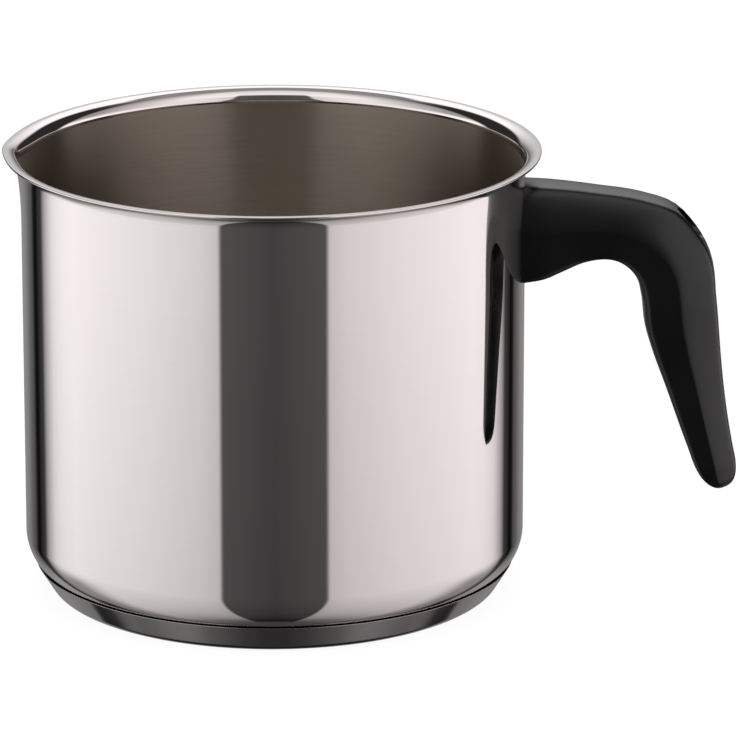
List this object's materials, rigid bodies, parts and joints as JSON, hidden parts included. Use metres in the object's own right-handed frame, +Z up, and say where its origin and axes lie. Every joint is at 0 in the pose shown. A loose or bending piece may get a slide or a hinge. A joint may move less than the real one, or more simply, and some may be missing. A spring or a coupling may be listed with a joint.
{
  "type": "milk pan",
  "caption": "Straight-sided stainless milk pan with a flared pouring rim, a small spout, a sandwich base and a drooping black phenolic handle screwed to a welded bracket.",
  "frame": {"origin": "middle of the base's underside, where the pan stands", "axes": "+Z up along the pan's axis, +X towards the handle, -X towards the spout"},
  "size_m": [0.2078, 0.1504, 0.1272],
  "materials": {
    "polished_steel": "polished",
    "base_steel": "satin",
    "core_aluminium": "matte",
    "phenolic": "gloss",
    "plain_steel": "satin"
  },
  "bodies": {
    "root": {"pan_body": "polished_steel", "base_capsule": "base_steel", "heat_spreader": "core_aluminium", "handle": "phenolic", "handle_bracket": "plain_steel", "bracket_nut": "plain_steel", "handle_screw": "plain_steel", "flat_washer": "plain_steel", "spring_washer": "plain_steel"}
  },
  "joints": []
}
